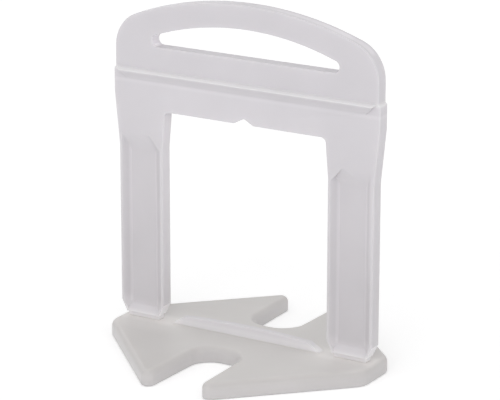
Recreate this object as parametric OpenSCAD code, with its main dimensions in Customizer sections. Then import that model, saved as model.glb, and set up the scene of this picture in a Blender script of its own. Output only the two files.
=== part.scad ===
// Tile levelling clip: one moulded piece, standing on its base plate.
// X runs along the tile joint, Y across it, Z up. Sizes in millimetres.

/* [Upright] */
// Thickness of the legs, crossbar and handle, which sets the joint between the tiles
plate_t = 2.1; // [1.8:0.1:3]
// Clear width between the legs
window_w = 28; // [24:0.5:32]
// Height of the window, from the base plate to the crossbar
window_h = 32.6; // [28:0.1:40]
// Height of the crossbar, from the window to the shelf rib's upper side
bar_h = 6; // [5:0.1:8]
// Height of the handle above the shelf rib
handle_h = 11.5; // [10.5:0.1:14]

/* [Window] */
// How much narrower the window is at its top, each side
window_taper = 0.5; // [0.1:0.05:0.8]
// Radius of the window's top corners
window_r = 0.8; // [0.3:0.1:2]
// Width of the centre mark in the window's top edge
mark_w = 3.2; // [2.8:0.1:5]
// Depth of the centre mark
mark_d = 0.9; // [0.5:0.1:1.2]
// Radius at the tip and the sides of the centre mark
mark_r = 0.5; // [0.1:0.1:0.7]

/* [Legs] */
// Width of each leg
leg_w = 7.4; // [6.5:0.1:10]
// Extra width of the crossbar over the legs, each side
shoulder = 0.8; // [0.2:0.1:2]
// Drop from the shelf rib to where the crossbar starts to narrow
flare_drop = 3.9; // [2.5:0.1:6]
// Height over which the crossbar narrows to the legs
flare_h = 8; // [5:0.5:12]
// Gap between the lower edge of the legs and the base plate
foot_lift = 0.7; // [0.6:0.1:2]
// Cut-off at the lower corners of the legs, across
foot_cut_w = 0.9; // [0.5:0.1:2]
// Cut-off at the lower corners of the legs, up
foot_cut_h = 1.8; // [0.5:0.1:2.5]
// Thickness of the break-off neck under each leg
neck_t = 1.4; // [0.8:0.1:1.5]
// Ledge left round the neck on the underside of each leg
neck_ledge = 0.15; // [0.1:0.05:0.2]

/* [Leg panels] */
// Flat rim at the sides of each sunk panel
rim_w = 0.4; // [0.3:0.05:1]
// Flat rim under each sunk panel
foot_rim = 0.15; // [0.1:0.05:1]
// Depth of the panels, on both faces
panel_d = 0.7; // [0.3:0.05:0.8]
// Width of the slope from the rim down to the panel's floor
panel_slope = 1.1; // [0.5:0.1:1.4]
// Drop from the window's top edge to the panel's upper end
panel_drop = 4; // [3:0.2:12]
// Run of the long slope at the panel's upper end
panel_run = 2.6; // [1.6:0.2:6]
// Cut-off at the panel's upper inner corner, across
panel_cut_w = 1.9; // [1:0.1:3]
// Cut-off at the panel's upper inner corner, down
panel_cut_h = 2.2; // [1:0.1:3]

/* [Handle] */
// How far the handle's sides stand in from the crossbar's sides
handle_inset = 0.3; // [0.1:0.1:1.5]
// Radius of the handle's arched top
arch_r = 53; // [40:1:80]
// Radius of the handle's upper corners
corner_r = 5.6; // [3:0.1:8]
// Height of the finger slot's straight edge above the shelf rib
slot_lift = 3.6; // [2:0.1:5]
// Rise of the finger slot's arched edge over its straight edge
slot_rise = 4.4; // [3.5:0.1:5]
// Radius of the finger slot's arched edge
slot_r = 44; // [35:1:50]
// Radius at the ends of the finger slot
slot_end_r = 0.9; // [0.4:0.1:1.2]

/* [Shelf rib] */
// How far the shelf rib stands out from both faces
shelf_out = 0.65; // [0.3:0.05:1.2]
// Fall of the shelf rib's upper side
shelf_fall = 0.3; // [0.1:0.05:0.6]
// Height of the shelf rib's nose
shelf_nose = 0.15; // [0.1:0.05:0.5]
// Height of the shelf rib's sloping underside
shelf_under = 1.2; // [0.6:0.1:1.6]
// Distance from the handle's sides to the ends of the shelf rib
shelf_inset = 0.2; // [0.1:0.1:2]

/* [Base plate] */
// Thickness of the base plate
base_t = 2.4; // [1.6:0.1:3]
// How far the base plate's ends stand out past the legs
base_over = 0.4; // [0.2:0.1:3]
// Width of the base plate's straight ends, between the slanted edges
end_w = 7.2; // [5:0.1:10]
// Radius of the end corners
end_r = 3; // [1:0.1:4]
// Width of the open slots at their inner end
notch_w = 7.5; // [7:0.1:9]
// Extra width of the open slots at their mouth, each side
notch_flare = 0.4; // [0:0.05:0.8]
// Distance from the middle to the inner end of the open slots
notch_y = 6.2; // [5:0.1:9]
// Radius at the inner end of the open slots
notch_r = 3.3; // [1:0.1:3.4]
// Radius of the prong tips
prong_r = 1.1; // [0.6:0.1:1.6]

/* [Spacer blade] */
// Distance from the legs to the ends of the blade between them
blade_gap = 1.3; // [0.6:0.1:4]
// Thickness of the blade at its foot
blade_t = 1.3; // [1:0.1:2]
// Thickness of the blade at its top
blade_top = 0.8; // [0.4:0.1:0.9]
// Height of the blade at its middle
blade_h = 1.7; // [1:0.1:2.4]
// How much lower the blade's top is at its ends, where the end slopes start
blade_bow = 0.4; // [0.2:0.05:0.6]
// Run of the blade's sloping ends
blade_run = 2; // [1:0.2:5]

/* [Hidden] */
$fn = 64;
big_fn = 180;
half_t = plate_t / 2;
inner_x = window_w / 2;
outer_x = inner_x + leg_w;
bar_x = outer_x + shoulder;
handle_x = bar_x - handle_inset;
window_top = base_t + window_h;
shelf_z = window_top + bar_h;
handle_top = shelf_z + handle_h;
foot_z = base_t + foot_lift;
flare_top = shelf_z - flare_drop;
flare_bottom = flare_top - flare_h;
panel_top = window_top - panel_drop;
overlap = 0.4;
weld = 0.2;
// Extra radius with which a rounding crosses the edges it runs into
hair = 0.002;
clip_white = [0.85, 0.85, 0.86];

// Tangent points, centre and turn of a rounded corner between its two neighbours
function unit(v) = v / norm(v);
function at(c) = [c[0], c[1]];
function pick(pts, i) = pts[(i + len(pts)) % len(pts)];
function to_prev(pts, i) = unit(at(pick(pts, i - 1)) - at(pts[i]));
function to_next(pts, i) = unit(at(pick(pts, i + 1)) - at(pts[i]));
function half_angle(pts, i) = acos(to_prev(pts, i) * to_next(pts, i)) / 2;
function setback(pts, i) = pts[i][2] / tan(half_angle(pts, i));
function corner_mid(pts, i) =
    at(pts[i]) + unit(to_prev(pts, i) + to_next(pts, i)) * pts[i][2] / sin(half_angle(pts, i));
function turn(pts, i) = cross(-to_prev(pts, i), to_next(pts, i));
function tangents(pts, i) = pts[i][2] == 0
    ? [at(pts[i])]
    : [at(pts[i]) + to_prev(pts, i) * setback(pts, i), at(pts[i]) + to_next(pts, i) * setback(pts, i)];

// Outline from corners [x, y, radius] listed anticlockwise, with true arcs
module rounded(pts) {
    difference() {
        union() {
            polygon([for (i = [0 : len(pts) - 1]) for (p = tangents(pts, i)) p]);
            for (i = [0 : len(pts) - 1])
                if (pts[i][2] > 0 && turn(pts, i) > 0)
                    translate(corner_mid(pts, i)) circle(pts[i][2] + hair);
        }
        for (i = [0 : len(pts) - 1])
            if (pts[i][2] > 0 && turn(pts, i) < 0)
                translate(corner_mid(pts, i)) circle(pts[i][2] + hair);
    }
}

// Piece of a large circle above the chord between two mirrored points
module arch_cap(mid, r, touch) {
    intersection() {
        translate([0, mid]) circle(r, $fn = big_fn);
        translate([-touch[0], touch[1]]) square([2 * touch[0], r]);
    }
}

// Outline in X and Z made a slab of the given thickness about the middle plane
module slab(thickness) {
    rotate([90, 0, 0]) linear_extrude(thickness, center = true) children();
}

// Section in Y and Z made a bar of the given length along X
module bar(length) {
    translate([-length / 2, 0, 0]) rotate([90, 0, 90]) linear_extrude(length) children();
}

// Straight lower edge and arched upper edge, with round ends tangent to both
module slot_outline() {
    low = shelf_z + slot_lift;
    mid = low + slot_rise - slot_r;
    end_x = sqrt(pow(slot_r - slot_end_r, 2) - pow(low + slot_end_r - mid, 2));
    touch = [0, mid] + unit([end_x, low + slot_end_r - mid]) * slot_r;
    polygon([[-end_x, low], [end_x, low], [touch[0], touch[1]], [-touch[0], touch[1]]]);
    for (side = [-1, 1])
        translate([side * end_x, low + slot_end_r]) circle(slot_end_r + hair);
    arch_cap(mid, slot_r, touch);
}

module handle_outline() {
    mid = handle_top - arch_r;
    corner_z = mid + sqrt(pow(arch_r - corner_r, 2) - pow(handle_x - corner_r, 2));
    touch = [0, mid] + unit([handle_x - corner_r, corner_z - mid]) * arch_r;
    polygon([
        [-handle_x, shelf_z - overlap], [handle_x, shelf_z - overlap], [handle_x, corner_z],
        [touch[0], touch[1]], [-touch[0], touch[1]], [-handle_x, corner_z]
    ]);
    for (side = [-1, 1])
        translate([side * (handle_x - corner_r), corner_z]) circle(corner_r + hair);
    arch_cap(mid, arch_r, touch);
}

module window_outline() {
    top_x = inner_x - window_taper;
    rounded([
        [-inner_x, 0, 0], [inner_x, 0, 0], [inner_x, flare_bottom, 0],
        [top_x, window_top, window_r],
        [mark_w / 2, window_top, mark_r], [0, window_top + mark_d, mark_r],
        [-mark_w / 2, window_top, mark_r],
        [-top_x, window_top, window_r], [-inner_x, flare_bottom, 0]
    ]);
}

module frame_outline() {
    cut_z = foot_z + foot_cut_h;
    difference() {
        polygon([
            [-outer_x, cut_z], [-outer_x + foot_cut_w, foot_z],
            [outer_x - foot_cut_w, foot_z], [outer_x, cut_z],
            [outer_x, flare_bottom], [bar_x, flare_top], [bar_x, shelf_z - handle_inset],
            [handle_x, shelf_z], [-handle_x, shelf_z],
            [-bar_x, shelf_z - handle_inset], [-bar_x, flare_top], [-outer_x, flare_bottom]
        ]);
        window_outline();
        for (side = [-1, 1])
            polygon([
                [side * (inner_x - overlap), foot_z - overlap],
                [side * (inner_x + foot_cut_w), foot_z - overlap],
                [side * (inner_x + foot_cut_w), foot_z],
                [side * inner_x, cut_z],
                [side * (inner_x - overlap), cut_z]
            ]);
    }
}

// Block with four sloping sides between two areas [left, right, low, high], one deep and one outer
module sloped_block(deep, deep_y, outer, outer_y) {
    intersection() {
        linear_extrude(handle_top)
            polygon([
                [deep[0], deep_y], [outer[0], outer_y], [outer[1], outer_y], [deep[1], deep_y]
            ]);
        translate([inner_x, 0, 0]) bar(4 * leg_w)
            polygon([
                [deep_y, deep[2]], [deep_y, deep[3]], [outer_y, outer[3]], [outer_y, outer[2]]
            ]);
    }
}

// What is cut from the right leg's front face: a recess with sloping sides, its upper inner corner
// and its lower corners cut off
module panel_cutter() {
    floor_y = panel_d - half_t;
    past = overlap / panel_d;
    left = inner_x + rim_w;
    right = outer_x - rim_w;
    low = foot_z + foot_rim;
    side = panel_slope * (1 + past);
    up = panel_run * past;
    intersection() {
        sloped_block(
            [left + panel_slope, right - panel_slope, low + panel_slope, panel_top - panel_run], floor_y,
            [left + panel_slope - side, right - panel_slope + side, low + panel_slope - side, panel_top + up],
            -half_t - overlap
        );
        slab(2 * plate_t)
            polygon([
                [left + 2 * foot_cut_w, foot_z - foot_cut_h], [right - 2 * foot_cut_w, foot_z - foot_cut_h],
                [right + foot_cut_w, foot_z + 2 * foot_cut_h], [right + foot_cut_w, panel_top + panel_cut_h],
                [left + 2 * panel_cut_w, panel_top + panel_cut_h],
                [left - panel_cut_w, panel_top - 2 * panel_cut_h],
                [left - foot_cut_w, foot_z + 2 * foot_cut_h]
            ]);
    }
}

module necks() {
    width = leg_w - 2 * foot_cut_w - 2 * neck_ledge;
    top_y = half_t - neck_ledge;
    slope_z = foot_z - top_y + neck_t / 2;
    for (side = [-1, 1])
        translate([side * (inner_x + leg_w / 2), 0, 0]) bar(width)
            polygon([
                [-neck_t / 2, base_t - overlap], [neck_t / 2, base_t - overlap],
                [neck_t / 2, slope_z], [top_y, foot_z], [top_y, foot_z + weld],
                [-top_y, foot_z + weld], [-top_y, foot_z], [-neck_t / 2, slope_z]
            ]);
}

// Rib across both faces, with its ends cut back at 45 degrees towards the underside
module shelf() {
    nose_y = half_t + shelf_out;
    nose_z = shelf_z - shelf_fall;
    low = nose_z - shelf_nose - shelf_under;
    end_x = handle_x - shelf_inset;
    intersection() {
        bar(2 * handle_x)
            polygon([
                [-half_t, shelf_z], [-nose_y, nose_z], [-nose_y, nose_z - shelf_nose], [-half_t, low],
                [half_t, low], [nose_y, nose_z - shelf_nose], [nose_y, nose_z], [half_t, shelf_z]
            ]);
        slab(4 * nose_y)
            polygon([
                [-end_x + shelf_z - low, low], [end_x - shelf_z + low, low],
                [end_x, shelf_z], [-end_x, shelf_z]
            ]);
    }
}

module base_plate() {
    nx = notch_w / 2;
    ex = outer_x + base_over;
    ey = end_w / 2;
    tip_x = nx + notch_flare;
    tip_y = ex + ey - tip_x;
    linear_extrude(base_t)
        rounded([
            [ex, -ey, end_r], [ex, ey, end_r],
            [tip_x, tip_y, prong_r], [nx, notch_y, notch_r],
            [-nx, notch_y, notch_r], [-tip_x, tip_y, prong_r],
            [-ex, ey, end_r], [-ex, -ey, end_r],
            [-tip_x, -tip_y, prong_r], [-nx, -notch_y, notch_r],
            [nx, -notch_y, notch_r], [tip_x, -tip_y, prong_r]
        ]);
}

// Thin ridge with an arched top and sloping ends
module blade() {
    crest = base_t + blade_h;
    side_z = crest - blade_bow;
    end_x = inner_x - blade_gap;
    top_x = end_x - blade_run;
    bow_r = (pow(top_x, 2) + pow(blade_bow, 2)) / (2 * blade_bow);
    intersection() {
        bar(2 * end_x)
            polygon([
                [-blade_t / 2, base_t - overlap], [blade_t / 2, base_t - overlap],
                [blade_t / 2, base_t], [blade_top / 2, crest + overlap],
                [-blade_top / 2, crest + overlap], [-blade_t / 2, base_t]
            ]);
        slab(2 * blade_t)
            intersection() {
                polygon([
                    [-end_x, base_t - overlap], [end_x, base_t - overlap], [end_x, base_t],
                    [end_x - 2 * blade_run, 2 * side_z - base_t],
                    [-end_x + 2 * blade_run, 2 * side_z - base_t], [-end_x, base_t]
                ]);
                translate([0, crest - bow_r]) circle(bow_r, $fn = big_fn);
            }
    }
}

module clip() {
    color(clip_white) {
        base_plate();
        blade();
        necks();
        shelf();
        difference() {
            slab(plate_t) {
                frame_outline();
                handle_outline();
            }
            slab(2 * plate_t) slot_outline();
            for (turned = [0, 180])
                rotate([0, 0, turned]) {
                    panel_cutter();
                    mirror([1, 0, 0]) panel_cutter();
                }
        }
    }
}

clip();
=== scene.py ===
import math
import bmesh
import bpy
from mathutils import Matrix, Vector


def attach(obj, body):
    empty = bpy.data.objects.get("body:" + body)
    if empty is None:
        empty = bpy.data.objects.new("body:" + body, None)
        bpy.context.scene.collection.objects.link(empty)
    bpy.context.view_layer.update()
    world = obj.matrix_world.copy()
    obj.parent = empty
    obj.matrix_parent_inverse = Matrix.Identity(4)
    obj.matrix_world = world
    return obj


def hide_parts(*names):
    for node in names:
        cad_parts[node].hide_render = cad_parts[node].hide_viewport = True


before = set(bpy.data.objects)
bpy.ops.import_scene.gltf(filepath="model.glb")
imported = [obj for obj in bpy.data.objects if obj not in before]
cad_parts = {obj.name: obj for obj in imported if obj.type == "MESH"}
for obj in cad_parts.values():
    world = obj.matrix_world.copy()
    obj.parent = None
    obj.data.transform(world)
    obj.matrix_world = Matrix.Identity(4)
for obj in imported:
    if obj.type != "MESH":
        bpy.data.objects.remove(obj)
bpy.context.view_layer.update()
scene = bpy.context.scene
mm = 0.001    # the frame is in metres
print("frame loaded")


def linear(hexCode):
    parts = [int(hexCode[i:i + 2], 16) / 255 for i in (1, 3, 5)]
    return [c / 12.92 if c <= 0.04045 else ((c + 0.055) / 1.055) ** 2.4 for c in parts] + [1.0]


def addNode(tree, kind, links=None, **values):
    # values go to sockets of that name, or else to the node's own settings
    node = tree.nodes.new(kind)
    for name, value in values.items():
        socket = name.replace("_", " ")
        if socket in node.inputs:
            node.inputs[socket].default_value = value
        else:
            setattr(node, name, value)
    for name, source in (links or {}).items():    # a node stands for its first output
        output = source.outputs[0] if hasattr(source, "outputs") else source
        tree.links.new(output, node.inputs[name])
    return node


def emptyMaterial(name):
    material = bpy.data.materials.new(name)
    material.use_nodes = True
    material.node_tree.nodes.clear()
    return material


def pieceFrom(mesh, name):
    data = bpy.data.meshes.new(name)
    mesh.to_mesh(data)
    mesh.free()
    piece = bpy.data.objects.new(name, data)
    scene.collection.objects.link(piece)
    return piece


# moulded natural polypropylene: milky, lets light in, so its shading is soft and low in contrast; its
# colour also carries painted light and shade
plasticLook = {
    "tonesWithPaintedLight": [    # height in mm and colour, from the underside up; the colours also hold painted light and shade
        (0, "#D2CFCF"), (1.4, "#D0CDCD"), (1.9, "#CAC7C6"), (2.2, "#CAC7C6"),         # base plate, its side wall painted paler toward the floor as painted light
        (2.36, "#D5D2D0"), (2.45, "#D5D2D0"),                                         # its top
        (2.6, "#E0DEE0"), (3.1, "#E0DEE0"), (3.7, "#D8D5D8"),                         # necks, painted light: pale where shade falls in the gaps under the feet
        (5.5, "#D1CED1"), (38.6, "#DCD9DD"),                                          # legs, crossbar: painted shade darkens the legs toward the base
        (39, "#E1DEE2"), (39.2, "#E1DEE2"), (39.4, "#DAD7DB"), (40.2, "#DDDADE"),     # under the shelf rib: painted light and shade set its pale line and darker band
        (40.5, "#DFDCE0"), (40.6, "#E8E6E8"), (41, "#E6E4E6"),                        # shelf rib, with a painted highlight along its top
        (41.2, "#DAD7DB"),                                                            # handle
    ],
    # painted light and shade: places painted darker (below 1) or lighter (above 1) in place of how light
    # falls:
    # shaded panel floors and top rims, dimmed edge highlights, painted highlights on slope feet and panel
    # tops, feet, gaps, corners and slot ends painted lighter against their shade. How much, then each
    # reading from where the place sets in to where it is full. x, y: mm from the middle planes, z: height
    # in mm,
    # across, facing, up: how far the surface turns along x, y, z
    "paintedLightAndShade": {
        "panels": (0.945, [("y", 1, 0.35), ("facing", 0.8, 0.97), ("z", 4.2, 5), ("z", 88.7, 12)]),
        "panelEdges": (1.12, [("y", 0.6, 0.4), ("across", 0, 0.1), ("across", 0.8, 0.7), ("z", 4.2, 5)]),
        "panelTops": (1.03, [("z", 26.5, 28), ("z", 34.5, 34), ("up", -0.1, -0.2), ("facing", 0.9, 0.95)]),
        "panelCorners": (1.25, [("z", 25, 27), ("z", 34.5, 34), ("up", -0.3, -0.5)]),
        "edges": (0.94, [("facing", 0.99, 0.93), ("facing", 0.1, 0.4), ("z", 5.2, 6)]),
        "windowSides": (1.13, [("x", 15.5, 14.5), ("across", 0.6, 0.9), ("z", -20, 34)]),
        "feet": (1.1, [("x", 8, 13), ("x", 22.2, 20.5), ("y", 6, 2), ("z", 3.2, 2.6), ("up", 0.5, 0.9)]),
        "gaps": (1.09, [("x", 10.5, 13), ("x", 22.2, 21), ("y", 2.4, 1.2), ("z", 1.5, 2.3),
                        ("z", 3.4, 3)]),
        "footCuts": (1.3, [("z", 2.2, 3), ("z", 5.6, 5.2), ("up", -0.1, -0.4), ("across", 0.3, 0.6)]),
        "crossbar": (1.03, [("x", 14, 9), ("z", 34, 35), ("z", 39.4, 39)]),
        "slotEnds": (1.26, [("z", 43.5, 44.2), ("x", 17.5, 16.5), ("across", 0.2, 0.6),
                            ("facing", 0.6, 0.4)]),
        "handleTop": (0.96, [("up", 0.3, 0.8), ("z", 43.5, 44.5)]),
    },
    "cloudTones": (0.98, 1.02),
    "cloudSpread": (0.3, 0.7),    # where the noise mostly lies
    "cloudSize": 9,               # mm
    "cloudDetail": 3,
    "grainSize": 0.5,             # mm: the mould's grain is finer than 0.1, drawn this coarse to show
    "grainDetail": 2,
    "grainDepth": 0.005,          # mm
    "roughness": 0.38,
    "ior": 1.49,
    "shine": 0.3,
    "scatter": 0.5,
    "scatterDepth": 1.2,          # mm
    "scatterColours": (1.0, 0.97, 0.94),
}


def naturalPolypropylene(look):
    material = emptyMaterial("moulded natural polypropylene")
    tree = material.node_tree
    place = addNode(tree, "ShaderNodeTexCoord")
    spot = addNode(tree, "ShaderNodeSeparateXYZ", {"Vector": place.outputs["Object"]})
    turn = addNode(tree, "ShaderNodeSeparateXYZ", {"Vector": place.outputs["Normal"]})
    # one tone runs into the next up the clip, painted light and shade included
    top = look["tonesWithPaintedLight"][-1][0]
    height = addNode(tree, "ShaderNodeMapRange", {"Value": spot.outputs["Z"]}, From_Max=top * mm)
    tone = addNode(tree, "ShaderNodeValToRGB", {"Fac": height})
    stops = tone.color_ramp.elements
    while len(stops) < len(look["tonesWithPaintedLight"]):
        stops.new(0.5)
    for stop, (z, colour) in zip(stops, look["tonesWithPaintedLight"]):
        stop.position = z / top
        stop.color = linear(colour)
    # faint clouds where the melt flowed
    clouds = addNode(tree, "ShaderNodeTexNoise", {"Vector": place.outputs["Object"]},
                     Scale=1 / (look["cloudSize"] * mm), Detail=look["cloudDetail"])
    low, high = look["cloudSpread"]
    dark, light = look["cloudTones"]
    level = addNode(tree, "ShaderNodeMapRange", {"Value": clouds}, From_Min=low, From_Max=high,
                    To_Min=dark, To_Max=light)
    # each reading with its unit
    readings = {"z": (spot.outputs["Z"], mm), "up": (turn.outputs["Z"], 1)}
    for name, source, axis, unit in (("x", spot, "X", mm), ("y", spot, "Y", mm),
                                     ("across", turn, "X", 1), ("facing", turn, "Y", 1)):
        size = addNode(tree, "ShaderNodeMath", {0: source.outputs[axis]}, operation="ABSOLUTE")
        readings[name] = (size, unit)
    # the readings together say how far a point lies in a place of painted light or shade
    for amount, limits in look["paintedLightAndShade"].values():
        inside = None
        for name, start, full in limits:
            reading, unit = readings[name]
            part = addNode(tree, "ShaderNodeMapRange", {"Value": reading}, From_Min=start * unit,
                           From_Max=full * unit)
            if inside:
                part = addNode(tree, "ShaderNodeMath", {0: inside, 1: part}, operation="MULTIPLY")
            inside = part
        # painted light or painted shade: the colour is scaled by the place's amount where the point lies
        # in it
        paintedLightScale = addNode(tree, "ShaderNodeMapRange", {"Value": inside}, To_Min=1.0, To_Max=amount)
        level = addNode(tree, "ShaderNodeMath", {0: level, 1: paintedLightScale}, operation="MULTIPLY")
    shade = addNode(tree, "ShaderNodeVectorMath", {"Vector": tone, "Scale": level}, operation="SCALE")
    # the mould's fine grain breaks up the shine
    grain = addNode(tree, "ShaderNodeTexNoise", {"Vector": place.outputs["Object"]},
                    Scale=1 / (look["grainSize"] * mm), Detail=look["grainDetail"])
    bump = addNode(tree, "ShaderNodeBump", {"Height": grain}, Distance=look["grainDepth"] * mm,
                   Strength=1.0)
    plastic = addNode(tree, "ShaderNodeBsdfPrincipled", {"Base Color": shade, "Normal": bump},
                      Roughness=look["roughness"], IOR=look["ior"], Specular_IOR_Level=look["shine"],
                      Subsurface_Weight=look["scatter"], Subsurface_Radius=look["scatterColours"],
                      Subsurface_Scale=look["scatterDepth"] * mm)
    addNode(tree, "ShaderNodeOutputMaterial", {"Surface": plastic})
    return material


# the clip, one moulded piece with softened edges
clipLook = {
    "roundings": {    # width in mm and steps, in the order they are cut
        "baseTop": (0.9, 5),
        "baseUnder": (0.2, 2),
        "outline": (0.22, 3),
        "panelTop": (0.5, 4),
        "inner": (0.25, 3),
        "small": (0.08, 2),
    },
    "unclamped": ("baseTop", "panelTop"),    # keep their full width past short edges
    "flatWithin": 0.5,       # degrees: faces this close are joined first
    "sharpFrom": 18,         # degrees: edges from here on are rounded
    "smoothTo": 32,          # degrees: shading runs smooth across edges up to here
    "legHeights": (5, 30),   # mm: where there are only legs
    "baseReach": 8,          # mm from the middle plane: only the base plate is out there
    "panelEnds": (25, 36),   # mm: heights between which the panels' upper ends lie
    "innerBelow": 33,        # mm: inner corners are filled up to here
}


def edgeKind(edge, look, faceY, baseTop):
    near = 0.002 * mm
    ends = [v.co for v in edge.verts]
    onFace = all(abs(abs(c.y) - faceY) < near and c.z > baseTop + near for c in ends)
    if edge.calc_face_angle_signed(0) < 0:    # the corners round the panels' floors and along the blade
        depth = abs(ends[0].y - ends[1].y)
        lengthwise = depth < 0.9 * edge.calc_length()    # not straight through the thickness
        return "inner" if lengthwise and all(c.z < look["innerBelow"] * mm for c in ends) else None
    if all(c.z < near for c in ends):
        return "baseUnder"
    if all(abs(c.z - baseTop) < near for c in ends):
        return "baseTop"
    if onFace and min(abs(f.normal.y) for f in edge.link_faces) < 0.1:    # a wall square to the face
        return "outline"
    low, high = look["panelEnds"]
    if onFace and all(low * mm < c.z < high * mm for c in ends):
        return "panelTop"
    return "small"


def softenedClip(look):
    mesh = bmesh.new()
    mesh.from_mesh(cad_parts["clip"].data)
    bmesh.ops.remove_doubles(mesh, verts=mesh.verts, dist=0.001 * mm)
    bmesh.ops.dissolve_limit(mesh, angle_limit=math.radians(look["flatWithin"]), verts=mesh.verts,
                             edges=mesh.edges)
    low, high = look["legHeights"]
    faceY = max(v.co.y for v in mesh.verts if low * mm < v.co.z < high * mm)
    baseTop = max(v.co.z for v in mesh.verts if abs(v.co.y) > look["baseReach"] * mm)
    sharp = math.radians(look["sharpFrom"])
    steep = [e for e in mesh.edges if len(e.link_faces) == 2 and e.calc_face_angle(0) > sharp]
    kinds = {e: edgeKind(e, look, faceY, baseTop) for e in steep}
    for name, (width, steps) in look["roundings"].items():
        edges = [e for e, kind in kinds.items() if kind == name and e.is_valid]
        bmesh.ops.bevel(mesh, geom=edges, offset=width * mm, offset_type="OFFSET", affect="EDGES",
                        segments=steps, profile=0.5, material=-1,
                        clamp_overlap=name not in look["unclamped"])
    for face in mesh.faces:
        face.smooth = True
    piece = pieceFrom(mesh, "mouldedClip")
    piece.data.set_sharp_from_angle(angle=math.radians(look["smoothTo"]))
    flat = piece.modifiers.new("flatFaces", "WEIGHTED_NORMAL")
    flat.keep_sharp = True
    return piece


clip = softenedClip(clipLook)
clip.data.materials.append(naturalPolypropylene(plasticLook))
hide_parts("clip")
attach(clip, "root")
print("clip built", len(clip.data.polygons), "faces")


def seenDirectly(tree):
    # 1 for what the camera, a shiny surface or glass looks at, 0 for the light that falls on the clip
    path = addNode(tree, "ShaderNodeLightPath")
    seen = path.outputs["Is Camera Ray"]
    for ray in ("Is Glossy Ray", "Is Transmission Ray"):
        seen = addNode(tree, "ShaderNodeMath", {0: seen, 1: path.outputs[ray]}, operation="MAXIMUM")
    return seen


# a white sheet under the clip: the camera sees it lifted to white, and a faint shadow stays
floorLook = {
    "size": 4000,    # mm
    "drop": 0.02,    # mm: keeps it clear of the clip's underside
    "colour": "#F2F2F2",
    "roughness": 0.9,
    "glow": 0.3,
}


def whiteSheet(look):
    mesh = bmesh.new()
    bmesh.ops.create_grid(mesh, x_segments=1, y_segments=1, size=look["size"] * mm / 2,
                          matrix=Matrix.Translation((0, 0, -look["drop"] * mm)))
    sheet = pieceFrom(mesh, "whiteSheet")
    material = emptyMaterial("matt white backdrop paper")
    tree = material.node_tree
    lift = addNode(tree, "ShaderNodeMapRange", {"Value": seenDirectly(tree)}, To_Max=look["glow"])
    paper = addNode(tree, "ShaderNodeBsdfPrincipled", {"Emission Strength": lift},
                    Base_Color=linear(look["colour"]), Roughness=look["roughness"],
                    Emission_Color=(1, 1, 1, 1))
    addNode(tree, "ShaderNodeOutputMaterial", {"Surface": paper})
    sheet.data.materials.append(material)


whiteSheet(floorLook)
print("floor laid")

# soft daylight, strongest low in front and weaker overhead and behind, and a wide lamp high in front
lightLook = {
    "brightFrom": (0.35, -0.8, -0.25),
    "weakest": 0.55,
    "strongest": 1.1,
    "key": 0.36,
    "keyFrom": (0.3, -0.78, 0.5),
    "keySpread": 45,    # degrees
}


def daylight(look):
    world = bpy.data.worlds.new("softDaylight")
    scene.world = world
    world.use_nodes = True
    tree = world.node_tree
    tree.nodes.clear()
    place = addNode(tree, "ShaderNodeTexCoord")
    nearness = addNode(tree, "ShaderNodeVectorMath", {0: place.outputs["Generated"]},
                       operation="DOT_PRODUCT")
    nearness.inputs[1].default_value = Vector(look["brightFrom"]).normalized()
    level = addNode(tree, "ShaderNodeMapRange", {"Value": nearness.outputs["Value"]}, From_Min=-1.0,
                    To_Min=look["weakest"], To_Max=look["strongest"])
    around = addNode(tree, "ShaderNodeBackground", {"Strength": level}, Color=(1, 1, 1, 1))
    white = addNode(tree, "ShaderNodeBackground", Color=(1, 1, 1, 1), Strength=1.0)
    pick = addNode(tree, "ShaderNodeMixShader", {0: seenDirectly(tree), 1: around, 2: white})
    addNode(tree, "ShaderNodeOutputWorld", {"Surface": pick})
    key = bpy.data.objects.new("keyLamp", bpy.data.lights.new("keyLamp", "SUN"))
    key.data.energy = look["key"]
    key.data.angle = math.radians(look["keySpread"])
    key.rotation_mode = "QUATERNION"
    key.rotation_quaternion = (-Vector(look["keyFrom"])).to_track_quat("-Z", "Y")
    scene.collection.objects.link(key)


daylight(lightLook)
print("lit")

# the photograph's standpoint
cameraLook = {
    "place": (189.8, -313.8, 134.6),    # mm
    "towards": (-0.4981, 0.8172, -0.2900),
    "sensor": 36,                       # mm
    "lens": 190.1,                      # mm
    "shift": 0.023,
    "sees": (10, 20000),                # mm, nearest and farthest
}


def standpoint(look):
    camera = bpy.data.objects.new("camera", bpy.data.cameras.new("camera"))
    camera.location = Vector(look["place"]) * mm
    camera.rotation_mode = "QUATERNION"
    camera.rotation_quaternion = Vector(look["towards"]).to_track_quat("-Z", "Y")
    camera.data.sensor_fit = "HORIZONTAL"
    camera.data.sensor_width = look["sensor"]
    camera.data.lens = look["lens"]
    camera.data.shift_x = look["shift"]
    camera.data.clip_start, camera.data.clip_end = (distance * mm for distance in look["sees"])
    camera.data.dof.use_dof = False
    scene.collection.objects.link(camera)
    scene.camera = camera


standpoint(cameraLook)
scene.view_settings.view_transform = "Standard"
print("camera set")
